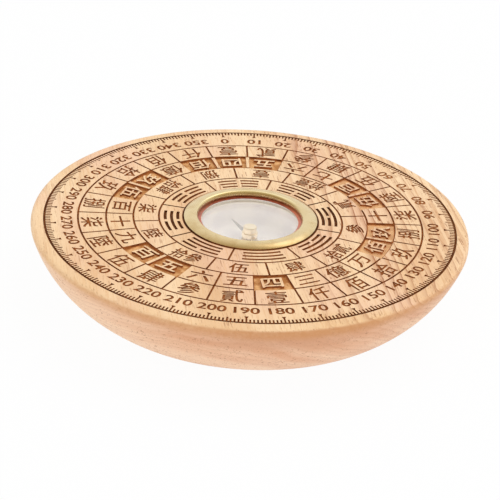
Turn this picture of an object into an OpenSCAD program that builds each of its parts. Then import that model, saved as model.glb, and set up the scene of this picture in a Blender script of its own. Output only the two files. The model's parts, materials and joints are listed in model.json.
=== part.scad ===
/* [Wooden block] */
// Outer diameter of the turned block
body_d = 110; // [106:1:130]
// Height of the block from its base to the dial
body_h = 18; // [15:0.5:24]
// Diameter of the flat base
base_d = 85; // [76:1:92]
// Radius of the curve that the side follows
side_r = 32; // [28:1:60]
// Radius of the two rounded edges, at the dial and at the base
edge_r = 1.2; // [0.6:0.1:2]

/* [Dial bands, from the rim inwards] */
// Width of the plain margin between the rim and the scale circle
margin_w = 3.35; // [2.5:0.05:4.5]
// Width of the band that holds the scale and its numbers
number_band_w = 8.35; // [7.5:0.05:9]
// Width of the outer ring of twenty-four cells
outer_band_w = 7; // [6:0.1:7.5]
// Width of the inner ring of twenty-four cells
inner_band_w = 6.8; // [6:0.1:7.2]
// Width of the ring of twelve cells
hour_band_w = 6.4; // [5.8:0.1:6.8]

/* [Engraving] */
// Width of the engraved circles and dividing lines
line_w = 0.5; // [0.2:0.02:0.6]
// Depth of the engraved lines
line_depth = 0.35; // [0.1:0.05:0.6]
// Depth of the sunk cells
cell_depth = 0.7; // [0.65:0.05:1.2]
// Width of the ridge between two sunk cells
ridge_w = 0.8; // [0.4:0.05:1.2]
// Width of the scale's ticks
tick_w = 0.44; // [0.2:0.02:0.5]
// Depth of the scale's ticks
tick_depth = 0.3; // [0.1:0.05:0.5]
// Length of a five-degree tick
tick_short = 1.95; // [1.6:0.05:2.3]
// Length of a ten-degree tick, with its head
tick_long = 2.85; // [2.4:0.05:3.4]
// Width of the head on a ten-degree tick
tick_head_w = 1.1; // [0.8:0.05:1.4]
// Height of the head on a ten-degree tick
tick_head_h = 0.75; // [0.5:0.05:1]
// Thickness of a trigram's bars
bar_t = 0.76; // [0.4:0.02:0.9]
// Angle that a trigram's bars span, in degrees
bar_span = 29; // [20:1:34]
// Gap in the middle of a broken bar, in degrees
bar_gap = 3; // [2:0.5:5]

/* [Compass capsule] */
// Diameter of the cover glass
glass_d = 27.2; // [25:0.2:29]
// Thickness of the cover glass
glass_t = 1; // [0.8:0.1:1.6]
// Depth of the glass below the dial
glass_drop = 0.6; // [0.4:0.05:0.8]
// Width of the red gasket's face
gasket_w = 1.5; // [1:0.1:2]
// Thickness of the red gasket
gasket_t = 0.25; // [0.15:0.05:0.35]
// Width of the seat ring under the glass
seat_w = 1; // [0.8:0.1:1.4]
// Thickness of the seat ring
seat_t = 0.6; // [0.4:0.1:1]
// Depth of the room under the seat ring
room_h = 4.9; // [4.7:0.1:6]
// Wall of the white dish
dish_wall = 0.5; // [0.4:0.1:0.7]
// Radius of the cove between the dish's wall and floor
dish_cove_r = 2.5; // [1.5:0.1:3]
// Wall and floor thickness of the metal cup
cup_wall = 0.4; // [0.3:0.05:0.8]

/* [Brass bezel] */
// Wall of the bezel's skirt
skirt_t = 0.6; // [0.4:0.05:0.9]
// Depth of the bezel's skirt below the dial
skirt_h = 5; // [3:0.1:6]
// Width of the rim that lies on the wood
rim_w = 1.9; // [1.5:0.1:2.6]
// Height of the bezel's crown above the dial
crown_h = 1; // [0.8:0.05:1.4]
// Height of the rim's outer edge above the dial
rim_edge_h = 0.25; // [0.15:0.05:0.4]
// Radius of the bezel's rounded inner edge
lip_round_r = 0.75; // [0.4:0.05:0.8]
// Width of the flat on top of the crown
crown_flat_w = 0.4; // [0.2:0.05:0.8]
// How far the bezel's lip reaches over the glass
lip_over = 0.3; // [0.2:0.05:0.6]
// Depth of the rebate in the wood that takes the rim
rebate_h = 0.3; // [0.2:0.05:0.5]

/* [Needle] */
// Length of the needle from tip to tip
needle_l = 19.4; // [14:0.2:21]
// Width of the needle at its middle
needle_w = 1.5; // [1:0.1:2]
// Width of the needle's blunt tips
needle_tip_w = 0.2; // [0.1:0.05:0.4]
// Thickness of the needle
needle_t = 0.25; // [0.15:0.05:0.4]
// Compass angle that the needle points to at rest, in degrees
needle_angle = -19; // [-180:1:180]
// Diameter of the cap's knob
knob_d = 3.4; // [2.6:0.1:3.6]
// Diameter of the cap's collar
collar_d = 4; // [3.8:0.1:4.6]
// Height of the cap's collar
collar_h = 1; // [0.8:0.1:1.5]
// Height of the cap above the needle
cap_h = 2.6; // [2.4:0.1:2.7]
// Gap between the cap's top and the cover glass
cap_gap = 0.6; // [0.4:0.1:0.8]
// Diameter of the pivot pin
pin_d = 0.6; // [0.4:0.05:0.7]
// Diameter of the pivot's base
pivot_base_d = 4.2; // [3.8:0.1:5]
// Gap between the cap's neck and the pivot's base
needle_gap = 0.35; // [0.25:0.05:0.4]

/* [Fits] */
// Radial clearance between the capsule's pressed parts
fit_gap = 0.1; // [0.05:0.01:0.15]
// Radial gap between the bezel's rim and the wood
rim_gap = 0.3; // [0.1:0.05:0.4]
// Clearance between the pin's point and the bearing
point_gap = 0.03; // [0.02:0.01:0.05]

/* [Hidden] */
$fn = 144;

// Dial radii, from the rim inwards
rim_r = body_d / 2;
scale_r = rim_r - margin_w;
outer_ring_r = scale_r - number_band_w;
inner_ring_r = outer_ring_r - outer_band_w;
hour_ring_r = inner_ring_r - inner_band_w;
trigram_ring_r = hour_ring_r - hour_band_w;

// Capsule radii, from the glass outwards
glass_r = glass_d / 2;
cup_in_r = glass_r + fit_gap;
cup_r = cup_in_r + cup_wall;
skirt_in_r = cup_r + fit_gap;
skirt_r = skirt_in_r + skirt_t;
pocket_r = skirt_r + fit_gap;
bezel_r = pocket_r + rim_w;
rebate_r = bezel_r + rim_gap;

// Capsule radii, from the glass inwards
lip_r = glass_r - lip_over;
gasket_in_r = glass_r - gasket_w;
seat_in_r = glass_r - seat_w;
dish_in_r = glass_r - dish_wall;

// Capsule heights, from the dial downwards
rim_z = body_h - rebate_h;
glass_top = body_h - glass_drop;
lip_z = glass_top + gasket_t;
cup_top = lip_z - fit_gap;
glass_z = glass_top - glass_t;
seat_z = glass_z - seat_t;
dish_floor_z = seat_z - room_h;
dish_z = dish_floor_z - dish_wall;
cup_z = dish_z - cup_wall;

// Needle heights, from the glass downwards
cap_top = glass_z - cap_gap;
needle_top = cap_top - cap_h;
needle_z = needle_top - needle_t;
neck_foot = 0.1;
neck_z = needle_z - neck_foot;
pivot_base_top = neck_z - needle_gap;

// The cap is bored for the pin, and the bearing closes the bore's upper end
bore_r = pin_d;
neck_wall = 0.3;
neck_r = bore_r + neck_wall;
eye_gap = 0.04;
bearing_t = 0.7;
bearing_z = cap_top - cap_h / 2;
bearing_top = bearing_z + bearing_t;
dimple_z = bearing_z + bearing_t / 2;
dimple_mouth_r = 0.75 * bore_r;
point_r = 0.05;
dimple_r = point_r + point_gap;
point_z = dimple_z - point_gap;
point_cone_h = 0.8;
pin_seat_h = 0.9;
cap_edge_r = 0.3;
base_step_w = 0.6;
base_step_h = 0.4;

// A trigram's bars stand at quarters of the band between its circle and the bezel
bar_step = (trigram_ring_r - bezel_r) / 4;

// Counts on the dial
cell_count = 24;
cell_angle = 360 / cell_count;
hour_angle = 30;
trigram_angle = 45;

// Angle that a ridge between two sunk cells takes at the middle of its band
ridge_angle = 360 * ridge_w / (PI * (hour_ring_r + inner_ring_r));

// Cells of the inner ring that are sunk, counted clockwise from the zero mark
sunk_cells = [0, 1, 4, 5, 7, 8, 12, 15, 16, 20, 21, 23];
function is_sunk(cell) = len(search((cell + cell_count) % cell_count, sunk_cells)) > 0;

// Bars of each trigram from the outermost inwards: 1 is whole and 0 is broken
trigrams = [
  [0, 0, 0], [1, 0, 0], [1, 0, 1], [1, 1, 0],
  [1, 1, 1], [0, 1, 1], [0, 1, 0], [0, 0, 1],
];

// Height by which every cut from above clears the dial
over = 2;

// Turns what stands on the +Y axis to a compass angle, clockwise from above
module at_angle(angle) rotate([0, 0, -angle]) children();

// Closed ring of rectangular section between two radii
module ring(r_in, r_out, z, h) {
  rotate_extrude() translate([r_in, z]) square([r_out - r_in, h]);
}

// Part of such a ring, centred on the +Y axis
module ring_sector(r_in, r_out, z, h, angle) {
  rotate([0, 0, 90 - angle / 2])
    rotate_extrude(angle = angle) translate([r_in, z]) square([r_out - r_in, h]);
}

// Radial cut along the +Y axis that opens through the dial's surface
module radial_cut(r_in, r_out, w, depth = line_depth) {
  translate([-w / 2, r_in, body_h - depth]) cube([w, r_out - r_in, depth + over]);
}

// Half section of the block: a flat base and dial, a curved side and two rounded edges
module block_outline() {
  dial_edge = [rim_r - edge_r, body_h - edge_r];
  base_edge = [base_d / 2, edge_r];
  chord = dial_edge - base_edge;
  arm = side_r - edge_r;
  rise = sqrt(arm * arm - chord * chord / 4);
  side_centre = (dial_edge + base_edge) / 2 + rise * [-chord.y, chord.x] / norm(chord);
  dial_touch = dial_edge + edge_r * (dial_edge - side_centre) / arm;
  base_touch = base_edge + edge_r * (base_edge - side_centre) / arm;
  square([base_edge.x, body_h]);
  translate([0, dial_touch.y]) square([dial_edge.x, body_h - dial_touch.y]);
  translate(dial_edge) circle(edge_r);
  translate(base_edge) circle(edge_r);
  intersection() {
    translate(side_centre) circle(side_r);
    translate([0, base_touch.y]) square([rim_r, dial_touch.y - base_touch.y]);
  }
}

// Bore for the capsule, with the shallow rebate for the bezel's rim
module capsule_pocket() {
  translate([0, 0, cup_z]) cylinder(r = pocket_r, h = body_h - cup_z + over);
  translate([0, 0, rim_z]) cylinder(r = rebate_r, h = rebate_h + over);
}

// Engraved circles and the lines between the cells
module dial_lines() {
  for (r = [scale_r, outer_ring_r, inner_ring_r, hour_ring_r, trigram_ring_r])
    ring(r - line_w / 2, r + line_w / 2, body_h - line_depth, line_depth + over);
  for (cell = [0:cell_count - 1]) at_angle((cell + 0.5) * cell_angle) {
    radial_cut(inner_ring_r, outer_ring_r, line_w);
    if (!(is_sunk(cell) && is_sunk(cell + 1))) radial_cut(hour_ring_r, inner_ring_r, line_w);
  }
  for (angle = [0:hour_angle:359]) at_angle(angle) radial_cut(trigram_ring_r, hour_ring_r, line_w);
  for (angle = [0:trigram_angle:359])
    at_angle(angle + trigram_angle / 2) radial_cut(bezel_r, trigram_ring_r, line_w);
}

// Degree scale: a tick every five degrees, and every second one has a head at its inner end
module scale_ticks() {
  for (angle = [0:10:359]) {
    at_angle(angle) radial_cut(scale_r - tick_long + tick_head_h, scale_r, tick_w, tick_depth);
    at_angle(angle) tick_head();
    at_angle(angle + 5) radial_cut(scale_r - tick_short, scale_r, tick_w, tick_depth);
  }
}

module tick_head() {
  tip_y = scale_r - tick_long;
  root_y = tip_y + tick_head_h;
  half_w = tick_head_w / 2;
  translate([0, 0, body_h - tick_depth]) linear_extrude(tick_depth + over)
    polygon([[-half_w, tip_y], [half_w, tip_y], [tick_w / 2, root_y], [-tick_w / 2, root_y]]);
}

// Sunk cells reach the dividing line beside a plain cell, and half a ridge beside a sunk one
module sunk_cell_cuts() {
  for (cell = sunk_cells) {
    before = is_sunk(cell - 1) ? ridge_angle / 2 : 0;
    after = is_sunk(cell + 1) ? ridge_angle / 2 : 0;
    at_angle(cell * cell_angle + (before - after) / 2)
      ring_sector(hour_ring_r, inner_ring_r, body_h - cell_depth, cell_depth + over, cell_angle - before - after);
  }
}

// Three bars for each of the eight trigrams
module trigram_cuts() {
  half_span = (bar_span - bar_gap) / 2;
  for (place = [0:len(trigrams) - 1], bar = [0:2]) {
    r_in = trigram_ring_r - (bar + 1) * bar_step - bar_t / 2;
    at_angle(place * trigram_angle) {
      if (trigrams[place][bar] == 1) trigram_bar(r_in, bar_span);
      else for (side = [-1, 1]) at_angle(side * (half_span + bar_gap) / 2) trigram_bar(r_in, half_span);
    }
  }
}

module trigram_bar(r_in, angle) ring_sector(r_in, r_in + bar_t, body_h - line_depth, line_depth + over, angle);

// Half section of the bezel: a crowned rim, a rounded lip over the glass and a skirt in the pocket
module bezel_outline() {
  crown_z = body_h + crown_h;
  crown_x = lip_r + lip_round_r + crown_flat_w;
  fall = crown_h - rim_edge_h;
  reach = bezel_r - crown_x;
  crown_r = (reach * reach + fall * fall) / (2 * fall);
  intersection() {
    translate([crown_x, crown_z - crown_r]) circle(crown_r);
    translate([skirt_in_r, rim_z]) square([bezel_r - skirt_in_r, crown_z - rim_z]);
  }
  translate([lip_r, lip_z]) square([skirt_in_r - lip_r + fit_gap, crown_z - lip_round_r - lip_z]);
  translate([lip_r + lip_round_r, body_h]) square([crown_flat_w, crown_h]);
  intersection() {
    translate([lip_r + lip_round_r, crown_z - lip_round_r]) circle(lip_round_r);
    translate([lip_r, body_h]) square([lip_round_r, crown_h]);
  }
  translate([skirt_in_r, body_h - skirt_h]) square([skirt_t, skirt_h]);
}

// Room inside the white dish, open at the top, with a coved corner
module dish_room() {
  square([dish_in_r - dish_cove_r, room_h]);
  translate([0, dish_cove_r]) square([dish_in_r, room_h - dish_cove_r]);
  translate([dish_in_r - dish_cove_r, dish_cove_r]) circle(dish_cove_r);
}

// Half section of the cap: a rounded knob on a collar, and a neck that goes through the needle
module cap_outline() {
  translate([0, cap_top - cap_edge_r]) square([knob_d / 2 - cap_edge_r, cap_edge_r]);
  translate([knob_d / 2 - cap_edge_r, cap_top - cap_edge_r]) circle(cap_edge_r);
  translate([0, needle_top]) square([knob_d / 2, cap_h - cap_edge_r]);
  translate([0, needle_top]) square([collar_d / 2, collar_h]);
  translate([0, neck_z]) square([neck_r, needle_top - neck_z]);
}

module wooden_body() {
  color([0.96, 0.82, 0.64]) difference() {
    rotate_extrude() block_outline();
    capsule_pocket();
    dial_lines();
    scale_ticks();
    sunk_cell_cuts();
    trigram_cuts();
  }
}

module brass_bezel() color([0.85, 0.76, 0.5]) rotate_extrude() bezel_outline();

module red_gasket() color([0.7, 0.2, 0.12]) ring(gasket_in_r, glass_r, glass_top, gasket_t);

module cover_glass() color([0.85, 0.9, 0.92, 0.4]) translate([0, 0, glass_z]) cylinder(r = glass_r, h = glass_t);

module seat_ring() color([0.75, 0.76, 0.77]) ring(seat_in_r, glass_r, seat_z, seat_t);

module white_dish() {
  color([0.87, 0.85, 0.85]) rotate_extrude() difference() {
    translate([0, dish_z]) square([glass_r, room_h + dish_wall]);
    translate([0, dish_floor_z]) dish_room();
  }
}

module compass_cup() {
  color([0.72, 0.66, 0.5]) difference() {
    translate([0, 0, cup_z]) cylinder(r = cup_r, h = cup_top - cup_z);
    translate([0, 0, cup_z + cup_wall]) cylinder(r = cup_in_r, h = cup_top - cup_z);
  }
}

module pivot_base() {
  shoulder_z = pivot_base_top - base_step_h;
  color([0.86, 0.78, 0.6]) difference() {
    union() {
      translate([0, 0, dish_floor_z]) cylinder(d = pivot_base_d, h = shoulder_z - dish_floor_z);
      translate([0, 0, shoulder_z]) cylinder(d = pivot_base_d - 2 * base_step_w, h = base_step_h);
    }
    translate([0, 0, pivot_base_top - pin_seat_h]) cylinder(d = pin_d, h = pin_seat_h + over);
  }
}

module pivot_pin() {
  foot_z = pivot_base_top - pin_seat_h;
  shoulder_z = point_z - point_cone_h;
  color([0.7, 0.72, 0.75]) {
    translate([0, 0, foot_z]) cylinder(d = pin_d, h = shoulder_z - foot_z);
    translate([0, 0, shoulder_z]) cylinder(r1 = pin_d / 2, r2 = point_r, h = point_cone_h);
  }
}

module needle() {
  half_l = needle_l / 2;
  half_w = needle_w / 2;
  half_tip = needle_tip_w / 2;
  color([0.4, 0.43, 0.47]) at_angle(needle_angle) translate([0, 0, needle_z]) difference() {
    union() {
      linear_extrude(needle_t) polygon([
        [half_tip, half_l], [half_w, 0], [half_tip, -half_l],
        [-half_tip, -half_l], [-half_w, 0], [-half_tip, half_l],
      ]);
      cylinder(r = collar_d / 2 - eye_gap, h = needle_t);
    }
    translate([0, 0, -over]) cylinder(r = neck_r + eye_gap, h = needle_t + 2 * over);
  }
}

module needle_cap() {
  color([0.93, 0.86, 0.7]) difference() {
    rotate_extrude() cap_outline();
    translate([0, 0, neck_z - over]) cylinder(r = bore_r, h = bearing_top - neck_z + over);
  }
}

module jewel_bearing() {
  color([0.75, 0.15, 0.2]) difference() {
    translate([0, 0, bearing_z]) cylinder(r = bore_r, h = bearing_t);
    translate([0, 0, bearing_z]) cylinder(r1 = dimple_mouth_r, r2 = dimple_r, h = dimple_z - bearing_z);
  }
}

wooden_body();
brass_bezel();
red_gasket();
cover_glass();
seat_ring();
white_dish();
compass_cup();
pivot_base();
pivot_pin();
needle();
needle_cap();
jewel_bearing();
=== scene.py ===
"""Dressed scene of a round wooden feng shui compass.

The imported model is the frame. Over it stand the engraved block, the turned metal pieces and the
glass, each with its own finish, lit softly on a white table and seen from the photograph's angle.
Sizes are in millimetres in the classes below and are turned into metres where a mesh is made.
A bearing is in degrees, clockwise from the far side of the dial.
"""

import json
import logging
import math
from collections.abc import Iterable, Mapping, Sequence
from dataclasses import dataclass, field
from enum import Enum
from typing import Any

import bmesh
import bpy
from mathutils import Matrix, Vector


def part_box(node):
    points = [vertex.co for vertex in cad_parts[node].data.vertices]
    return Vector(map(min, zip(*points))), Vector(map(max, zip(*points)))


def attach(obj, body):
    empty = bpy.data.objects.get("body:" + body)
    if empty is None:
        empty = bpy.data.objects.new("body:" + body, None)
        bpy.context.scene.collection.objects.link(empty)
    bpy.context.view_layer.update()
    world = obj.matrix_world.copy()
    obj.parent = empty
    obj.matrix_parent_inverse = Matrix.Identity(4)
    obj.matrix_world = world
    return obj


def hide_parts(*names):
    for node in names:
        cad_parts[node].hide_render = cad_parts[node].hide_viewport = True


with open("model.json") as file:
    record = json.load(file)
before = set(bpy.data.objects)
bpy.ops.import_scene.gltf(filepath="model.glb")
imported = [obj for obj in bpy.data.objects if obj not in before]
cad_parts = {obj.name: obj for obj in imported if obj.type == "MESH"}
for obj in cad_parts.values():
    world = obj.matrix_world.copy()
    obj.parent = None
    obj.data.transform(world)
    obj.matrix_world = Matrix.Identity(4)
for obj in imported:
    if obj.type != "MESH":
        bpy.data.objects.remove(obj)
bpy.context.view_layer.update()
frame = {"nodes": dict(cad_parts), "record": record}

MM = 0.001
MERGE = 1e-4
RAISED = "raised"
log = logging.getLogger("compass")

Point = tuple[float, float]
Point3 = tuple[float, float, float]
Colour = tuple[float, float, float]
Ramp = tuple[float, float]
"""Where a share is 0 and where it is 1, in that order, so it falls where the first is larger."""


class Cell(Enum):
    """How a cell of the middle ring is cut."""

    PLAIN = "sign cut into the dial"
    SUNK = "floor cut away round a raised sign"


class Mark(Enum):
    """Kinds of straight marks on the degree scale, with their spacing in degrees."""

    DEGREE = 1
    FIVE = 5
    TEN = 10


def srgb(red: int, green: int, blue: int) -> Colour:
    """Turn a colour into the linear values that a shader takes.

    Args:
        red: Its red as written, from 0 to 255.
        green: Its green.
        blue: Its blue.

    Returns:
        The linear colour.
    """
    return tuple(
        level / 12.92 if level <= 0.04045 else ((level + 0.055) / 1.055) ** 2.4
        for level in (red / 255, green / 255, blue / 255)
    )


@dataclass(frozen=True)
class Span:
    """Reach of a round node: its radius and its lowest and highest points, in millimetres."""

    radius: float
    low: float
    high: float

    @classmethod
    def of(cls, node: str) -> "Span":
        """Read a node's box from the frame."""
        low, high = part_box(node)
        return cls(round(high[0] / MM, 2), round(low[2] / MM, 2), round(high[2] / MM, 2))


class Value:
    """One socket of a node tree, with arithmetic that adds Math nodes."""

    def __init__(self, bench: "Bench", socket: bpy.types.NodeSocket) -> None:
        """Hold a socket and the bench that its tree is built on."""
        self.bench = bench
        self.socket = socket

    def out(self, name: str | int) -> "Value":
        """Give another output of the same node."""
        return Value(self.bench, self.socket.node.outputs[name])

    def math(self, operation: str, *others: "Number") -> "Value":
        """Add a Math node whose first socket holds this value."""
        return self.bench.math(operation, self, *others)

    def smooth(self, start: float, end: float) -> "Value":
        """Turn the value into a share that changes smoothly.

        Args:
            start: Where the share is 0.
            end: Where it is 1, which may be lower than the start.

        Returns:
            The share.
        """
        reach = {"Value": self, "From Min": min(start, end), "From Max": max(start, end)}
        rise = self.bench.place("ShaderNodeMapRange", {"interpolation_type": "SMOOTHSTEP"}, reach)
        return rise if start <= end else 1.0 - rise

    def __add__(self, other: "Number") -> "Value":
        """Add."""
        return self.math("ADD", other)

    def __radd__(self, other: "Number") -> "Value":
        """Add to a number."""
        return self.math("ADD", other)

    def __sub__(self, other: "Number") -> "Value":
        """Subtract."""
        return self.math("SUBTRACT", other)

    def __rsub__(self, other: "Number") -> "Value":
        """Subtract from a number."""
        return self.bench.math("SUBTRACT", other, self)

    def __mul__(self, other: "Number") -> "Value":
        """Multiply."""
        return self.math("MULTIPLY", other)

    def __rmul__(self, other: "Number") -> "Value":
        """Multiply a number."""
        return self.math("MULTIPLY", other)

    def __truediv__(self, other: "Number") -> "Value":
        """Divide."""
        return self.math("DIVIDE", other)

    def __rtruediv__(self, other: "Number") -> "Value":
        """Divide a number."""
        return self.bench.math("DIVIDE", other, self)

    def __pow__(self, other: "Number") -> "Value":
        """Raise to a power."""
        return self.math("POWER", other)


Number = Value | float | int
Feed = Value | float | int | bool | Sequence[float] | bpy.types.ID


class Bench:
    """A node tree while it is being built."""

    def __init__(self, tree: bpy.types.NodeTree) -> None:
        """Hold the tree."""
        self.tree = tree

    def place(
        self,
        kind: str,
        settings: Mapping[str, Any] | None = None,
        sockets: Mapping[str | int, Feed] | None = None,
        output: str | int = 0,
    ) -> Value:
        """Add a node, set it up and feed its sockets.

        Args:
            kind: The node's type.
            settings: Its own properties, which are set first.
            sockets: What each input holds or is linked to.
            output: The output to hand back.

        Returns:
            The chosen output, or the first input of a node without outputs.
        """
        node = self.tree.nodes.new(kind)
        for name, setting in (settings or {}).items():
            setattr(node, name, setting)
        for name, feed in (sockets or {}).items():
            self.feed(node.inputs[name], feed)
        return Value(self, node.outputs[output] if len(node.outputs) else node.inputs[0])

    def feed(self, socket: bpy.types.NodeSocket, feed: Feed) -> None:
        """Link a value to an input, or set the input's own number or colour.

        Args:
            socket: The input.
            feed: What it holds or is linked to.
        """
        if isinstance(feed, Value):
            self.tree.links.new(feed.socket, socket)
        elif socket.type == "RGBA":
            socket.default_value = (*feed, 1.0)
        else:
            socket.default_value = feed

    def math(self, operation: str, *terms: Number) -> Value:
        """Add a Math node and give its result."""
        return self.place("ShaderNodeMath", {"operation": operation}, dict(enumerate(terms)))

    def vector(self, x: Number, y: Number, z: Number) -> Value:
        """Join three numbers into a vector."""
        return self.place("ShaderNodeCombineXYZ", None, {0: x, 1: y, 2: z})

    def mix(self, share: Number, first: Feed, second: Feed, mode: str = "MIX") -> Value:
        """Mix a share of a second colour into a first one."""
        settings = {"data_type": "RGBA", "blend_type": mode, "clamp_factor": True}
        return self.place("ShaderNodeMix", settings, {0: share, 6: first, 7: second}, 2)

    def noise(self, vector: Value, scale: float, detail: float, roughness: float = 0.5) -> Value:
        """Add a noise texture and give its value, which stays near the middle of 0 to 1."""
        sockets = {"Vector": vector, "Scale": scale, "Detail": detail, "Roughness": roughness}
        return self.place("ShaderNodeTexNoise", None, sockets)

    def shader(self, sockets: Mapping[str, Feed]) -> Value:
        """Add the general surface shader."""
        return self.place("ShaderNodeBsdfPrincipled", None, sockets)

    def relief(self, height: Value, depth: float) -> Value:
        """Turn a height between 0 and 1 into a bumped normal of a real depth in millimetres."""
        sockets = {"Strength": 1.0, "Distance": depth * MM, "Height": height}
        return self.place("ShaderNodeBump", None, sockets)

    def mix_shaders(self, share: Value, first: Value, second: Value) -> Value:
        """Mix a share of a second shader into a first one."""
        return self.place("ShaderNodeMixShader", None, {0: share, 1: first, 2: second})


@dataclass(frozen=True)
class Grain:
    """Noise that is stretched along the object's axes.

    Attributes:
        scale: Cycles in a millimetre along each axis.
        detail: Number of its finer layers.
        roughness: How strong the finer layers are.
        shift: Move along X that keeps it apart from another one.
        shows: Values between which it comes out, where it is used as a mask.
    """

    scale: Point3
    detail: float = 2.0
    roughness: float = 0.5
    shift: float = 0.0
    shows: Ramp = (0.0, 1.0)

    @classmethod
    def even(
        cls, scale: float, detail: float = 2.0, roughness: float = 0.5, shows: Ramp = (0.0, 1.0)
    ) -> "Grain":
        """Make a noise that has the same scale along all axes."""
        return cls((scale, scale, scale), detail, roughness, shows=shows)


class Place:
    """Where a shaded point lies on the object, in millimetres, on the bench of its material."""

    off_axis: float = 0.01

    def __init__(self, bench: Bench) -> None:
        """Read the object coordinates once and split them.

        Args:
            bench: The material's nodes.
        """
        metres = bench.place("ShaderNodeTexCoord", None, None, "Object")
        sockets = {0: metres, "Scale": 1 / MM}
        self.bench = bench
        self.point = bench.place("ShaderNodeVectorMath", {"operation": "SCALE"}, sockets)
        parts = bench.place("ShaderNodeSeparateXYZ", None, {0: self.point})
        self.x, self.y, self.z = parts.out("X"), parts.out("Y"), parts.out("Z")
        self.radius = (self.x * self.x + self.y * self.y) ** 0.5

    def grain(self, kind: Grain) -> Value:
        """Add a noise and give its value."""
        sockets = {0: self.point, 1: kind.scale, 2: (kind.shift, 0.0, 0.0)}
        spot = self.bench.place("ShaderNodeVectorMath", {"operation": "MULTIPLY_ADD"}, sockets)
        return self.bench.noise(spot, 1.0, kind.detail, kind.roughness)

    def mask(self, kind: Grain) -> Value:
        """Add a noise and give the share to which it shows."""
        return self.grain(kind).smooth(*kind.shows)

    def along(self, axis: Value) -> Value:
        """Say how far the way from the axis of the block runs along X or Y, from 0 to 1."""
        return (axis * axis) / (self.radius * self.radius + self.off_axis)

    def far_side(self) -> Value:
        """Say how far a point lies to the far side, from -1 to 1."""
        return self.y / (self.radius + self.off_axis)


@dataclass(frozen=True)
class Finish:
    """A procedural material. Each kind says how its own surface is made."""

    name: str

    def material(self) -> bpy.types.Material:
        """Make the material and let the kind of finish fill it.

        Returns:
            The material.
        """
        made = bpy.data.materials.new(self.name)
        made.use_nodes = True
        made.node_tree.nodes.clear()
        bench = Bench(made.node_tree)
        surface = self.surface(Place(bench))
        bench.place("ShaderNodeOutputMaterial", None, {"Surface": surface})
        return made

    def surface(self, place: Place) -> Value:
        """Build the shader.

        Args:
            place: Where the shaded point lies.

        Returns:
            The shader's output.
        """
        raise NotImplementedError


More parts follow.
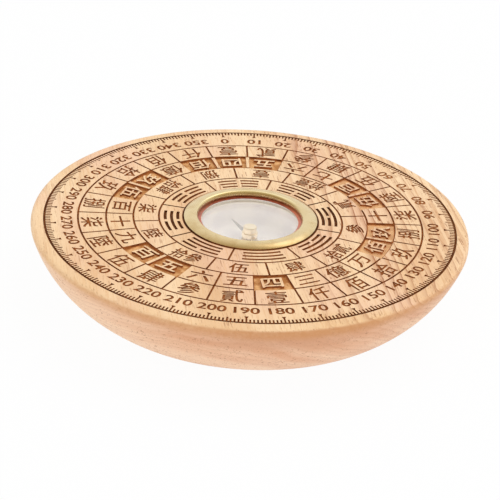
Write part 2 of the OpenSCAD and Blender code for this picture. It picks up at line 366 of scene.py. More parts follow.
@dataclass(frozen=True)
class PaleWood(Finish):
    """Sanded pale wood with its grain along Y, and burnt where the dial is cut."""

    scale_r: float = 51.65
    dial_r: Ramp = (52.25, 52.2)
    dial_foot_z: Ramp = (16.9, 17.0)
    # Walls of the pocket and rebate, and a thin ring of the dial round it, darkened as painted
    # shade.
    wall_r: Ramp = (17.38, 17.2)
    wall_foot_z: Ramp = (9.0, 9.2)
    cut_z: Ramp = (17.992, 17.97)
    deep_z: Ramp = (17.55, 17.41)
    deep_r: Ramp = (18.1, 19.1)
    bars_r: Ramp = (22.9, 22.6)

    pith_x: float = -22.0
    pith_z: float = -58.0
    ring_gap: float = 1.5
    ring_sway: float = 8.0
    soft_ring: Ramp = (0.35, 0.92)
    soft_ring_end: Ramp = (1.0, 0.93)
    sharp_ring: Ramp = (0.80, 0.92)
    sharp_ring_end: Ramp = (1.0, 0.96)
    year_scale: float = 3.7
    year_shows: Ramp = (0.3, 0.6)
    season_scale: float = 0.3
    season_row: float = 4.0
    season_shows: Ramp = (0.36, 0.62)

    cream: Colour = srgb(253, 221, 178)
    honey: Colour = srgb(240, 199, 151)
    rose: Colour = srgb(242, 197, 164)
    heart: Colour = srgb(226, 176, 142)
    late: Colour = srgb(170, 104, 66)
    strand: Colour = srgb(226, 172, 118)
    stripe: Colour = srgb(208, 156, 112)
    pore: Colour = srgb(156, 94, 58)
    end_pale: Colour = srgb(255, 221, 190)
    end_rose: Colour = srgb(226, 168, 130)
    edge_tone: Colour = srgb(210, 152, 104)
    below_edge: Colour = srgb(212, 160, 126)
    scorch: Colour = srgb(126, 66, 26)
    scorch_pale: Colour = srgb(174, 104, 52)
    char: Colour = srgb(78, 40, 14)
    floor_light: Colour = srgb(242, 188, 128)
    floor_dark: Colour = srgb(190, 126, 70)
    floor_pale: Colour = srgb(252, 206, 156)
    singed: Colour = srgb(238, 188, 136)

    fibre: Grain = Grain((7.0, 0.28, 7.0), 3.0, 0.6, shows=(0.45, 0.75))
    scan: Grain = Grain((1.1, 7.0, 1.0), 2.0, 0.6, shows=(0.5, 0.7))
    drift: Grain = Grain((0.05, 0.012, 0.05), 3.0)
    patch: Grain = Grain((0.05, 0.016, 0.1), shows=(0.36, 0.66))
    blush: Grain = Grain((0.07, 0.03, 0.1), shift=9.0, shows=(0.44, 0.68))
    stripes: Grain = Grain((1.1, 0.03, 1.1), 1.0, shows=(0.5, 0.62))
    strands: Grain = Grain((2.2, 0.09, 2.2), 2.0, 0.6, shows=(0.48, 0.66))
    long_pores: Grain = Grain((2.4, 0.11, 2.4), 2.0, 0.55, shows=(0.60, 0.66))
    short_pores: Grain = Grain((3.6, 0.34, 3.6), 1.0, 0.5, 5.0, (0.65, 0.73))
    pore_breaks: Grain = Grain.even(0.5, 1.0, shows=(0.40, 0.56))
    blotch: Grain = Grain((0.06, 0.03, 0.22), 3.0, 0.55, shows=(0.34, 0.64))
    mottle: Grain = Grain.even(0.9, 3.0, 0.7, (0.3, 0.7))
    patchy: Grain = Grain.even(0.045, 1.0, shows=(0.4, 0.6))
    smoke: Grain = Grain.even(0.5, 3.0, 0.6, (0.35, 0.65))
    tooling_scale: float = 1.6
    tooling_shows: Ramp = (0.5, 0.7)
    dark_patch: Ramp = (0.5, 0.75)
    pale_line: Ramp = (0.35, 0.7)

    pore_x: Ramp = (-34.0, 0.0)
    sapwood_x: Ramp = (34.0, 43.0)
    rosy_x: Ramp = (2.0, 26.0)
    heart_x: float = 27.0
    heart_sway: float = 24.0
    heart_off: Ramp = (11.0, 2.0)
    heart_y: Ramp = (-46.0, -22.0)
    near_rim_y: Ramp = (-45.0, -50.0)
    near_rim_x: Ramp = (-4.0, 10.0)
    near_rim_end_x: Ramp = (38.0, 30.0)
    stripes_x: Ramp = (34.0, 46.0)
    foot_z: Ramp = (0.3, 0.1)
    # Painted bounce light: the side's end grain is palest at the foot and turns rosier up to here.
    side_z: Ramp = (17.3, 16.2)
    side_r: Ramp = (30.0, 40.0)
    rise_z: Ramp = (1.0, 15.0)
    pale_left_x: Ramp = (-20.0, -44.0)
    middle_x: Ramp = (-24.0, -8.0)
    middle_end_x: Ramp = (22.0, 8.0)
    under_rim_z: Ramp = (17.85, 17.3)
    below_z: Ramp = (9.0, 14.5)
    band_z: Ramp = (14.2, 16.6)
    pale_floor_x: Ramp = (8.0, 28.0)
    faint_to: Point = (0.9, 0.42)
    faint_reach: Ramp = (38.0, 47.0)
    bar_aside: Ramp = (0.3, 0.95)
    bar_ahead: Ramp = (0.3, 0.05)
    off_scale: Ramp = (0.5, 0.36)

    def surface(self, place: Place) -> Value:
        """Join the plain wood, its end grain and its burnt cuts.

        Args:
            place: Where the shaded point lies.

        Returns:
            The shader's output.
        """
        bench = place.bench
        fibres, scan, pores = place.grain(self.fibre), place.grain(self.scan), self.pores(place)
        late, season = self.growth(place)
        tone = self.long_grain(place, fibres, late, season)
        tone = bench.mix(pores * (place.x.smooth(*self.pore_x) * 0.2 + 0.35), tone, self.pore)
        raised = bench.place("ShaderNodeAttribute", {"attribute_name": RAISED}, None, "Fac")
        tone = bench.mix(raised * 0.12, tone, self.singed)
        tone = self.side(place, tone, late, season, pores)
        cut = self.cut_mask(place)
        colour = bench.mix(cut, tone, self.burnt(place, scan))
        foot = place.z.smooth(*self.foot_z)
        rings = bench.vector(place.radius * self.tooling_scale, 0.0, 0.0)
        tooling = bench.noise(rings, 1.0, 2.0, 0.6)
        colour = bench.mix(foot * tooling.smooth(*self.tooling_shows) * 0.4, colour, self.honey)
        height = fibres * 0.35 + (1.0 - pores) * 0.65 + cut * scan * 0.8
        height = height - late * 0.15 + foot * tooling * 3.0
        return bench.shader({
            "Base Color": colour,
            "Roughness": 0.5 + (fibres - 0.5) * 0.25 + pores * 0.12 + cut * 0.3,
            "Normal": bench.relief(height, 0.035),
            "Specular IOR Level": 0.15,
        })

    def growth(self, place: Place) -> tuple[Value, Value]:
        """Find the growth rings, which lie round a pith to the left below the block.

        Args:
            place: Where the shaded point lies.

        Returns:
            Where the dark late wood of a ring is, and how rosy the years round it are.
        """
        bench = place.bench
        across = ((place.x - self.pith_x) ** 2.0 + (place.z - self.pith_z) ** 2.0) ** 0.5
        turn = (across + (place.grain(self.drift) - 0.5) * self.ring_sway) / self.ring_gap
        phase = turn.math("FRACT")
        year = bench.noise(bench.vector(turn - phase, 0.0, 0.0), self.year_scale, 0.0)
        soft = phase.smooth(*self.soft_ring) * phase.smooth(*self.soft_ring_end)
        sharp = phase.smooth(*self.sharp_ring) * phase.smooth(*self.sharp_ring_end)
        row = bench.vector(turn * self.season_scale, self.season_row, 0.0)
        season = bench.noise(row, 1.0, 1.0)
        late = (soft * 0.6 + sharp * 0.4) * year.smooth(*self.year_shows)
        return late, season.smooth(*self.season_shows)

    def long_grain(self, place: Place, fibres: Value, late: Value, season: Value) -> Value:
        """Colour the wood along its grain: cream, honey and rose patches, rings and fibres.

        Args:
            place: Where the shaded point lies.
            fibres: The finest noise along the grain.
            late: Where the late wood is.
            season: How rosy the years are.

        Returns:
            The colour.
        """
        bench = place.bench
        patch = place.grain(self.patch)
        sapwood, right = place.x.smooth(*self.sapwood_x), place.x.smooth(*self.rosy_x)
        tone = bench.mix(patch.smooth(*self.patch.shows), self.cream, self.honey)
        tone = bench.mix(place.mask(self.blush) * (0.75 - sapwood * 0.6), tone, self.rose)
        off_heart = place.x - self.heart_x + (patch - 0.5) * self.heart_sway
        heart = off_heart.math("ABSOLUTE").smooth(*self.heart_off)
        heart = heart * place.y.smooth(*self.heart_y)
        tone = bench.mix(heart * (0.17 + season * 0.32), tone, self.heart)
        tone = bench.mix(season * (0.1 + right * (0.2 - sapwood * 0.15)), tone, self.rose)
        near = place.y.smooth(*self.near_rim_y) * place.x.smooth(*self.near_rim_x)
        tone = bench.mix(near * place.x.smooth(*self.near_rim_end_x) * 0.9, tone, self.honey)
        dark = 0.14 + right * (0.52 + heart * 0.3) + patch.smooth(*self.dark_patch) * 0.15
        tone = bench.mix(late * dark, tone, self.late)
        stripes = place.mask(self.stripes) * place.x.smooth(*self.stripes_x)
        tone = bench.mix(stripes * 0.5, tone, self.stripe)
        tone = bench.mix(place.mask(self.strands) * 0.34, tone, self.strand)
        return bench.mix(fibres.smooth(*self.fibre.shows) * 0.3, tone, self.honey)

    def pores(self, place: Place) -> Value:
        """Mark the pores: short dark lines along the grain, and dots where it is cut across.

        Args:
            place: Where the shaded point lies.

        Returns:
            The mask.
        """
        lines = place.mask(self.long_pores) * place.mask(self.pore_breaks)
        return lines.math("MAXIMUM", place.mask(self.short_pores) * 0.7)

    def side(self, place: Place, tone: Value, late: Value, season: Value, pores: Value) -> Value:
        """Turn the side to end grain where it faces along the grain, paler at the foot as painted
        bounce light, and tint its edge.

        Args:
            place: Where the shaded point lies.
            tone: The colour along the grain.
            late: Where the late wood is.
            season: How rosy the years are.
            pores: Where the pores are.

        Returns:
            The colour of the plain wood.
        """
        bench = place.bench
        lower = place.z.smooth(*self.side_z) * place.radius.smooth(*self.side_r)
        # Towards the foot the end grain turns paler: partly its own tone, partly painted light
        # bounced from the table.
        end_on, rise = place.along(place.y), place.z.smooth(*self.rise_z)
        share = place.mask(self.blotch) * (0.1 + rise * 0.25) + season * 0.36 + rise * 0.48
        share = share * (0.3 + end_on * 0.7) * (1.0 - place.x.smooth(*self.pale_left_x) * 0.6)
        end_tone = bench.mix(share, self.end_pale, self.end_rose)
        end_tone = bench.mix(late * 0.2, end_tone, self.late)
        end_tone = bench.mix(pores * 0.45, end_tone, self.pore)
        tone = bench.mix(lower * (0.7 + end_on * 0.25), tone, end_tone)
        middle = place.x.smooth(*self.middle_x) * place.x.smooth(*self.middle_end_x)
        top = place.z.smooth(*self.under_rim_z)
        mottle = place.mask(self.mottle) * 0.35
        below = place.z.smooth(*self.below_z) * (0.3 + middle * 0.4) * top
        tone = bench.mix(below * end_on * (0.85 + mottle), tone, self.below_edge)
        band = place.z.smooth(*self.band_z) * top
        band = band * (0.12 + end_on * (0.4 + place.mask(self.patchy) * 0.25 + mottle))
        tone = bench.mix(band, tone, self.edge_tone)
        return bench.mix(top * lower * pores * 0.2, tone, self.pore)

    def cut_mask(self, place: Place) -> Value:
        """Mark everything just below the dial's face as burnt, and paint shade round the bezel.

        Args:
            place: Where the shaded point lies.

        Returns:
            The mask.
        """
        on_dial = place.radius.smooth(*self.dial_r) * place.z.smooth(*self.dial_foot_z)
        # Painted shade: the pocket and rebate walls, and a thin ring of the dial round the rebate.
        pocket = place.radius.smooth(*self.wall_r) * place.z.smooth(*self.wall_foot_z)
        return (place.z.smooth(*self.cut_z) * on_dial).math("MAXIMUM", pocket)

    def burnt(self, place: Place, scan: Value) -> Value:
        """Colour the cuts: dark lines and walls, and paler scanned floors in the sunk cells.

        Args:
            place: Where the shaded point lies.
            scan: The fine lines that the burning tool leaves.

        Returns:
            The colour.
        """
        bench = place.bench
        smoke = place.grain(self.smoke)
        floor = bench.mix(smoke.smooth(*self.smoke.shows), self.floor_light, self.floor_dark)
        floor = bench.mix(scan.smooth(*self.scan.shows) * 0.4, floor, self.floor_dark)
        floor = bench.mix(place.x.smooth(*self.pale_floor_x) * 0.5, floor, self.floor_pale)
        lines = bench.mix(smoke.smooth(*self.pale_line), self.scorch, self.scorch_pale)
        aside = place.along(place.x)
        bars = place.radius.smooth(*self.bars_r)
        lines = bench.mix(bars * aside.smooth(*self.bar_aside) * 0.7, lines, self.char)
        lines = bench.mix(bars * aside.smooth(*self.bar_ahead) * 0.4, lines, self.floor_dark)
        faint = place.x * self.faint_to[0] + place.y * self.faint_to[1]
        lines = bench.mix(faint.smooth(*self.faint_reach) * 0.45, lines, self.floor_dark)
        circle = (place.radius - self.scale_r).math("ABSOLUTE").smooth(*self.off_scale)
        lines = bench.mix(circle * 0.5, lines, self.char)
        deep = place.z.smooth(*self.deep_z) * place.radius.smooth(*self.deep_r)
        return bench.mix(deep, lines, floor)


@dataclass(frozen=True)
class TurnedMetal(Finish):
    """Metal with the fine rings that turning and wiping leave, and a little tarnish."""

    bright: Colour = srgb(228, 206, 159)
    dull: Colour = srgb(206, 176, 121)
    roughness: float = 0.3
    pitch: float = 9.0
    wear: float = 0.5
    # Painted light: a glow that brightens a shaded piece, though it is no lamp.
    glow: float = 0.0
    sway: Grain = Grain.even(0.25)
    cloud: Grain = Grain.even(0.35, 4.0, 0.6, (0.42, 0.72))
    spots: Grain = Grain.even(2.4, shows=(0.70, 0.76))

    def surface(self, place: Place) -> Value:
        """Build bright metal with turning marks, dull patches, small spots and any painted glow.

        Args:
            place: Where the shaded point lies.

        Returns:
            The shader's output.
        """
        bench = place.bench
        across = place.radius * self.pitch + place.grain(self.sway) * 0.25
        marks = bench.noise(bench.vector(across, place.z * self.pitch, 0.0), 1.0, 2.0, 0.6)
        cloud, spots = place.grain(self.cloud), place.mask(self.spots)
        dull = cloud.smooth(*self.cloud.shows) * self.wear
        colour = bench.mix(dull, self.bright, self.dull)
        colour = bench.mix(spots * 0.3 * self.wear, colour, self.dull, "MULTIPLY")
        colour = self.plated(place, colour)
        return bench.shader({
            "Base Color": colour,
            "Emission Color": colour,
            "Emission Strength": self.glow,
            "Metallic": 1.0,
            "Roughness": self.roughness + (marks - 0.5) * 0.16 + dull * 0.14 + spots * 0.1,
            "Normal": bench.relief(marks * 0.7 + cloud * 0.3, 0.004),
        })

    def plated(self, place: Place, colour: Value) -> Value:
        """Give the metal's colour as it is, with nothing laid over it."""
        return colour


@dataclass(frozen=True)
class NeedleSteel(TurnedMetal):
    """Needle steel whose middle, under the cap, is coloured pale."""

    plate: Colour = srgb(250, 236, 214)
    plate_r: Ramp = (2.6, 2.3)

    def plated(self, place: Place, colour: Value) -> Value:
        """Colour the middle pale."""
        return place.bench.mix(place.radius.smooth(*self.plate_r), colour, self.plate)


@dataclass(frozen=True)
class BezelBrass(TurnedMetal):
    """Brass of the bezel, with a painted reflection on the far slope round the glass."""

    # Painted reflection: the brighter brass laid on the far inner slope.
    polished: Colour = srgb(255, 240, 190)
    slope_r: Ramp = (14.05, 13.7)
    lip_r: Ramp = (13.15, 13.35)
    far: Ramp = (0.2, 0.8)

    def plated(self, place: Place, colour: Value) -> Value:
        """Paint a brighter reflection on the inner slope on the far side.

        Args:
            place: Where the shaded point lies.
            colour: The brass elsewhere.

        Returns:
            The colour.
        """
        # The painted reflection, on the far side between the lip and the crown.
        slope = place.radius.smooth(*self.slope_r) * place.radius.smooth(*self.lip_r)
        return place.bench.mix(slope * place.far_side().smooth(*self.far), colour, self.polished)


@dataclass(frozen=True)
class RedRubber(Finish):
    """Glossy red sealing ring, with painted shade under the brass lip and on its far side."""

    red: Colour = srgb(212, 106, 64)
    deep: Colour = srgb(112, 24, 6)
    # Painted shade: darker towards the metal rim, under the lip, and on the far side.
    stain_r: Ramp = (12.4, 13.15)
    far: Ramp = (-0.1, 0.95)
    mottle: Grain = Grain.even(0.9, 3.0, 0.6, (0.4, 0.7))
    skin: Grain = Grain.even(6.0)

    def surface(self, place: Place) -> Value:
        """Build a smooth moulded surface, mottled, with painted shade near the metal rim and far
        side.

        Args:
            place: Where the shaded point lies.

        Returns:
            The shader's output.
        """
        bench, skin = place.bench, place.grain(self.skin)
        # Painted shade under the lip and on the far side, over a random mottle of the rubber.
        shade_and_mottle = place.radius.smooth(*self.stain_r) * 0.3
        shade_and_mottle = place.mask(self.mottle) * 0.3 + shade_and_mottle + place.far_side().smooth(*self.far) * 0.7
        return bench.shader({
            "Base Color": bench.mix(shade_and_mottle, self.red, self.deep),
            "Roughness": 0.22 + skin * 0.18,
            "Coat Weight": 0.35,
            "Coat Roughness": 0.1,
            "Normal": bench.relief(skin, 0.006),
        })


@dataclass(frozen=True)
class CoverGlass(Finish):
    """Thin clear glass that lets light through and mirrors more at a low angle."""

    veil: Colour = srgb(240, 240, 244)
    frost: Colour = srgb(240, 236, 228)
    clear: Colour = (0.98, 0.985, 0.98)
    face_on: float = 0.04
    edge_r: Ramp = (13.42, 13.5)
    smear: Grain = Grain.even(0.22, 3.0, 0.6)
    scuffs: Grain = Grain.even(3.5, shows=(0.68, 0.78))

    def surface(self, place: Place) -> Value:
        """Mix a clear pass with a gloss that grows towards grazing angles, and frost the edge.

        Args:
            place: Where the shaded point lies.

        Returns:
            The shader's output.
        """
        bench, smear, scuffs = place.bench, place.grain(self.smear), place.mask(self.scuffs)
        gloss = bench.shader({
            "Base Color": self.veil,
            "Roughness": 0.06 + smear * 0.08 + scuffs * 0.2,
            "Specular IOR Level": 0.5,
            "Metallic": 0.85,
            "Normal": bench.relief(smear, 0.003),
        })
        clear = bench.place("ShaderNodeBsdfTransparent", None, {"Color": self.clear})
        facing = bench.place("ShaderNodeLayerWeight", None, {"Blend": 0.5}, "Facing")
        mirror = self.face_on + (1.0 - self.face_on) * facing ** 5.0
        pane = bench.mix_shaders(mirror + smear * 0.03, clear, gloss)
        # The ground edge is frosted, and its glow is painted light on a rim that lies in shade.
        ground = bench.shader({
            "Base Color": self.frost,
            "Roughness": 0.7 + scuffs * 0.2,
            "Emission Color": self.frost,
            "Emission Strength": 0.3,
        })
        return bench.mix_shaders(place.radius.smooth(*self.edge_r), pane, ground)


@dataclass(frozen=True)
class WhiteEnamel(Finish):
    """White lacquered inside of the compass, which glows a little as painted light."""

    white: Colour = srgb(252, 246, 240)
    shade: Colour = srgb(242, 236, 234)
    # Painted light: a faint glow that lifts the shade in the deep well, though it is no lamp.
    glow: float = 0.1
    cloud: Grain = Grain.even(0.2, 3.0, shows=(0.35, 0.7))
    peel: Grain = Grain.even(1.4)

    def surface(self, place: Place) -> Value:
        """Build lacquer with faint clouds, a soft orange peel and a faint glow of painted light.

        Args:
            place: Where the shaded point lies.

        Returns:
            The shader's output.
        """
        bench, peel = place.bench, place.grain(self.peel)
        colour = bench.mix(place.mask(self.cloud), self.white, self.shade)
        return bench.shader({
            "Base Color": colour,
            "Emission Color": colour,
            "Emission Strength": self.glow,
            "Roughness": 0.38 + peel * 0.15,
            "Coat Weight": 0.2,
            "Coat Roughness": 0.15,
            "Normal": bench.relief(peel, 0.01),
        })


@dataclass(frozen=True)
class Ruby(Finish):
    """Polished red bearing stone."""

    red: Colour = srgb(168, 24, 44)
    deep: Colour = srgb(110, 10, 28)
    cloud: Grain = Grain.even(3.0, 3.0, shows=(0.4, 0.65))

    def surface(self, place: Place) -> Value:
        """Build a glossy stone with clouds inside.

        Args:
            place: Where the shaded point lies.

        Returns:
            The shader's output.
        """
        bench, cloud = place.bench, place.grain(self.cloud)
        return bench.shader({
            "Base Color": bench.mix(cloud.smooth(*self.cloud.shows), self.red, self.deep),
            "Roughness": 0.08 + cloud * 0.1,
            "Coat Weight": 0.6,
            "Normal": bench.relief(cloud, 0.002),
        })


@dataclass(frozen=True)
class Tabletop(Finish):
    """White table that keeps a soft shadow and looks white to the camera and in reflections."""

    white: Colour = (0.9, 0.9, 0.9)
    glow: float = 0.95
    bounce: float = 0.5
    paper: Grain = Grain.even(0.02)

    def surface(self, place: Place) -> Value:
        """Mix a lit matt white with plain white for camera, mirror and glass rays.

        Args:
            place: Where the shaded point lies.

        Returns:
            The shader's output.
        """
        bench = place.bench
        matt = bench.shader({
            "Base Color": self.white,
            "Roughness": 0.8 + place.grain(self.paper) * 0.1,
            "Specular IOR Level": 0.1,
        })
        plain = bench.place("ShaderNodeEmission", None, {"Color": (1.0, 1.0, 1.0), "Strength": 1.0})
        path = bench.place("ShaderNodeLightPath", None, None, "Is Camera Ray")
        seen = path.math("MAXIMUM", path.out("Is Glossy Ray"))
        seen = seen.math("MAXIMUM", path.out("Is Transmission Ray"))
        return bench.mix_shaders(self.bounce + seen * (self.glow - self.bounce), matt, plain)


class Outline:
    """Half section of a turned piece, as radius and height, with the material on its left."""

    def __init__(self, *points: Point) -> None:
        """Start with some corners."""
        self.points: list[Point] = list(points)

    def line(self, *points: Point) -> "Outline":
        """Add straight runs to the given points."""
        self.points.extend(points)
        return self

    def arc(
        self, centre: Point, radius: float, start: float, end: float, steps: int
    ) -> "Outline":
        """Add an arc.

        Args:
            centre: Its centre.
            radius: Its radius.
            start: Angle of its first point, in degrees from outwards.
            end: Angle of its last point.
            steps: Number of parts that it is cut into.

        Returns:
            This outline.
        """
        for step in range(steps + 1):
            angle = math.radians(start + (end - start) * step / steps)
            out, up = radius * math.cos(angle), radius * math.sin(angle)
            self.points.append((centre[0] + out, centre[1] + up))
        return self


def turned(outline: Outline, segments: int) -> bmesh.types.BMesh:
    """Turn an outline round the Z axis.

    Args:
        outline: Closed half section. A point on the axis becomes a pole.
        segments: Number of parts round the axis.

    Returns:
        A closed shape in millimetres.
    """
    shape = bmesh.new()
    angles = [math.tau * segment / segments for segment in range(segments)]
    rings: list[list[bmesh.types.BMVert]] = []
    for radius, height in outline.points:
        if radius < MERGE:
            rings.append([shape.verts.new((0.0, 0.0, height))])
            continue
        spots = [(radius * math.sin(angle), radius * math.cos(angle), height) for angle in angles]
        rings.append([shape.verts.new(spot) for spot in spots])
    for first, second in zip(rings, rings[1:] + rings[:1]):
        if len(first) == len(second) == 1:
            continue
        for segment in range(segments):
            after = (segment + 1) % segments
            corners = [first[segment % len(first)], first[after % len(first)]]
            corners += [second[after % len(second)], second[segment % len(second)]]
            shape.faces.new(list(dict.fromkeys(corners)))
    return shape


def finish_mesh(shape: bmesh.types.BMesh, name: str, sharp: float = 32.0) -> bpy.types.Mesh:
    """Merge doubles, point the faces outwards, turn millimetres into metres and shade smooth.

    Args:
        shape: The shape in millimetres, which is used up.
        name: Name of the mesh.
        sharp: Angle in degrees past which an edge stays sharp.

    Returns:
        The finished mesh.
    """
    bmesh.ops.remove_doubles(shape, verts=shape.verts, dist=MERGE)
    bmesh.ops.recalc_face_normals(shape, faces=shape.faces)
    bmesh.ops.scale(shape, vec=(MM, MM, MM), verts=shape.verts)
    mesh = bpy.data.meshes.new(name)
    shape.to_mesh(mesh)
    shape.free()
    mesh.shade_smooth()
    mesh.set_sharp_from_angle(angle=math.radians(sharp))
    return mesh


def new_object(name: str, data: bpy.types.ID) -> bpy.types.Object:
    """Put a mesh, a text, a lamp or a camera into the scene at the origin."""
    made = bpy.data.objects.new(name, data)
    bpy.context.scene.collection.objects.link(made)
    return made


def settled(piece: bpy.types.Object) -> bpy.types.Mesh:
    """Give the mesh that a piece's modifiers or its text make."""
    bpy.context.view_layer.update()
    graph = bpy.context.evaluated_depsgraph_get()
    return bpy.data.meshes.new_from_object(piece.evaluated_get(graph))


def dress(
    name: str, mesh: bpy.types.Mesh, finish: bpy.types.Material, node: str, slot: str
) -> bpy.types.Object:
    """Put a finished mesh in the place of a node and report it.

    Args:
        name: Name of the piece.
        mesh: Its mesh in metres.
        finish: Its material.
        node: The node that it stands for.
        slot: The record's slot for its finish; it is not used.

    Returns:
        The piece.
    """
    mesh.materials.clear()
    mesh.materials.append(finish)
    piece = new_object(name, mesh)
    bodies = frame["record"]["behaviour"]["bodies"]
    body = next(body for body, nodes in bodies.items() if node in nodes)
    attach(piece, body)
    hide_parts(node)
    log.info("%s: %d faces on %s", name, len(mesh.polygons), body)
    return piece


@dataclass
class MarkArray:
    """Geometry nodes that cut a mark and repeat it at many bearings round the dial.

    A curved mark is bent round the axis, and its widths are angles in radians.
    """

    name: str
    curved: bool
    material: bpy.types.Material
    steps: int = 24
    sizes: tuple[str, ...] = (
        "Inner radius", "Outer radius", "Inner width", "Outer width", "Floor", "Top",
    )
    tree: bpy.types.NodeTree = field(init=False)

    def __post_init__(self) -> None:
        """Build the tree once; each use only sets its inputs."""
        self.tree = bpy.data.node_groups.new(self.name, "GeometryNodeTree")
        face = self.tree.interface
        face.new_socket("Geometry", in_out="OUTPUT", socket_type="NodeSocketGeometry")
        face.new_socket("Geometry", in_out="INPUT", socket_type="NodeSocketGeometry")
        for size in self.sizes:
            face.new_socket(size, in_out="INPUT", socket_type="NodeSocketFloat")
        face.new_socket("Material", in_out="INPUT", socket_type="NodeSocketMaterial")
        bench = Bench(self.tree)
        given = bench.place("NodeGroupInput")
        mark = self.mark(bench, given)
        named = {"Name": "bearing"}
        bearing = bench.place("GeometryNodeInputNamedAttribute", {"data_type": "FLOAT"}, named)
        turn = bench.vector(0.0, 0.0, 0.0 - bearing)
        spread = bench.place(
            "GeometryNodeInstanceOnPoints",
            None,
            {"Points": given.out("Geometry"), "Instance": mark, "Rotation": turn},
        )
        real = bench.place("GeometryNodeRealizeInstances", None, {"Geometry": spread})
        sockets = {"Geometry": real, "Material": given.out("Material")}
        dressed = bench.place("GeometryNodeSetMaterial", None, sockets)
        bench.place("NodeGroupOutput", None, {"Geometry": dressed})

    def mark(self, bench: Bench, given: Value) -> Value:
        """Shape one mark at bearing 0 from a cube of 1 mm.

        Args:
            bench: The tree.
            given: Its inputs.

        Returns:
            The mark.
        """
        cuts = self.steps if self.curved else 2
        sockets = {"Size": (1.0, 1.0, 1.0), "Vertices X": cuts}
        cube = bench.place("GeometryNodeMeshCube", None, sockets, "Mesh")
        spot = bench.place("GeometryNodeInputPosition")
        parts = bench.place("ShaderNodeSeparateXYZ", None, {0: spot})
        across, along, up = parts.out("X"), parts.out("Y") + 0.5, parts.out("Z") + 0.5
        inner, outer, narrow, wide, floor, top = (given.out(size) for size in self.sizes)
        radius = inner + (outer - inner) * along
        width = narrow + (wide - narrow) * along
        height = floor + (top - floor) * up
        swing = across * width
        if self.curved:
            sine, cosine = swing.math("SINE"), swing.math("COSINE")
            place = bench.vector(radius * sine, radius * cosine, height)
        else:
            place = bench.vector(swing, radius, height)
        sockets = {"Geometry": cube, "Position": place}
        return bench.place("GeometryNodeSetPosition", None, sockets)

    def cut(self, bearings: Iterable[float], sizes: Sequence[float]) -> bpy.types.Mesh:
        """Repeat one mark.

        Args:
            bearings: Bearings at which it stands.
            sizes: Its sizes in the tree's order.

        Returns:
            The marks as one mesh in millimetres.
        """
        points = bpy.data.meshes.new(self.name)
        angles = [math.radians(bearing) for bearing in bearings]
        points.from_pydata([(0.0, 0.0, 0.0)] * len(angles), [], [])
        points.attributes.new("bearing", "FLOAT", "POINT").data.foreach_set("value", angles)
        carrier = new_object(self.name, points)
        modifier = carrier.modifiers.new(self.name, "NODES")
        modifier.node_group = self.tree
        items = self.tree.interface.items_tree
        keys = {item.name: item.identifier for item in items if item.in_out == "INPUT"}
        for size, value in zip(self.sizes, sizes):
            modifier[keys[size]] = float(value)
        modifier[keys["Material"]] = self.material
        mesh = settled(carrier)
        carrier.modifiers.remove(modifier)
        bpy.data.objects.remove(carrier)
        return mesh


@dataclass(frozen=True)
class Lettering:
    """Generic numerals that are cut into the dial or left standing on it."""

    floor: float
    top: float
    slant: float = 0.07
    swell: float = 0.0
    fineness: int = 4
    merge_em: float = 1e-5

    def prism(
        self, text: str, size: Point, radius: float, bearing: float, nudge: Point = (0.0, 0.0)
    ) -> bmesh.types.BMesh:
        """Make one sign as a closed prism that reads from the rim, with its foot outwards.

        Args:
            text: The numeral.
            size: Its width and height in millimetres for one em.
            radius: Distance of its middle from the centre.
            bearing: Bearing at which it stands.
            nudge: Shift to the right and up, for the repeated strikes that thicken a stroke.

        Returns:
            The prism in millimetres.
        """
        curve = bpy.data.curves.new("numeral", "FONT")
        curve.body = text
        curve.resolution_u = self.fineness
        curve.extrude = 0.5
        curve.offset = self.swell
        writer = new_object("numeral", curve)
        mesh = settled(writer)
        bpy.data.objects.remove(writer)
        shape = bmesh.new()
        shape.from_mesh(mesh)
        bmesh.ops.remove_doubles(shape, verts=shape.verts, dist=self.merge_em)
        low = [min(vert.co[axis] for vert in shape.verts) for axis in range(2)]
        high = [max(vert.co[axis] for vert in shape.verts) for axis in range(2)]
        middle = Vector(((low[0] + high[0]) / 2, (low[1] + high[1]) / 2, 0.0))
        turn = Matrix.Rotation(math.radians(180.0 - bearing), 4, "Z")
        lean = Matrix.Identity(4)
        lean[1][0] = self.slant
        stretch = Matrix.Diagonal((*size, self.top - self.floor, 1.0))
        lift = Matrix.Translation((nudge[0], nudge[1] - radius, (self.top + self.floor) / 2))
        shape.transform(turn @ lift @ stretch @ lean @ Matrix.Translation(-middle))
        return shape


class Cutter:
    """Closed shapes that don't meet each other and are cut from the block together."""

    def __init__(self, name: str) -> None:
        """Start with nothing."""
        self.name = name
        self.shape = bmesh.new()

    def add(self, part: bmesh.types.BMesh | bpy.types.Mesh) -> None:
        """Take in a shape, which is used up.

        Args:
            part: The shape in millimetres.
        """
        if isinstance(part, bpy.types.Mesh):
            self.shape.from_mesh(part)
            return
        mesh = bpy.data.meshes.new(self.name)
        part.to_mesh(mesh)
        part.free()
        self.shape.from_mesh(mesh)
        bpy.data.meshes.remove(mesh)

    def object(self) -> bpy.types.Object:
        """Hand the shapes over as one object in millimetres.

        Returns:
            The object.
        """
        bmesh.ops.recalc_face_normals(self.shape, faces=self.shape.faces)
        mesh = bpy.data.meshes.new(self.name)
        self.shape.to_mesh(mesh)
        self.shape.free()
        return new_object(self.name, mesh)


def carve(block: bpy.types.Mesh, cutters: Sequence[Cutter], name: str) -> bpy.types.Mesh:
    """Take cutters away from a block, one after the other.

    Args:
        block: The closed block in millimetres.
        cutters: What is cut away.
        name: Name of the result.

    Returns:
        The cut block in millimetres.
    """
    work = new_object(name, block)
    tools = [cutter.object() for cutter in cutters]
    for tool in tools:
        step = work.modifiers.new(tool.name, "BOOLEAN")
        step.operation = "DIFFERENCE"
        step.solver = "MANIFOLD"
        step.object = tool
    result = settled(work)
    for thing in (work, *tools):
        bpy.data.objects.remove(thing)
    return result


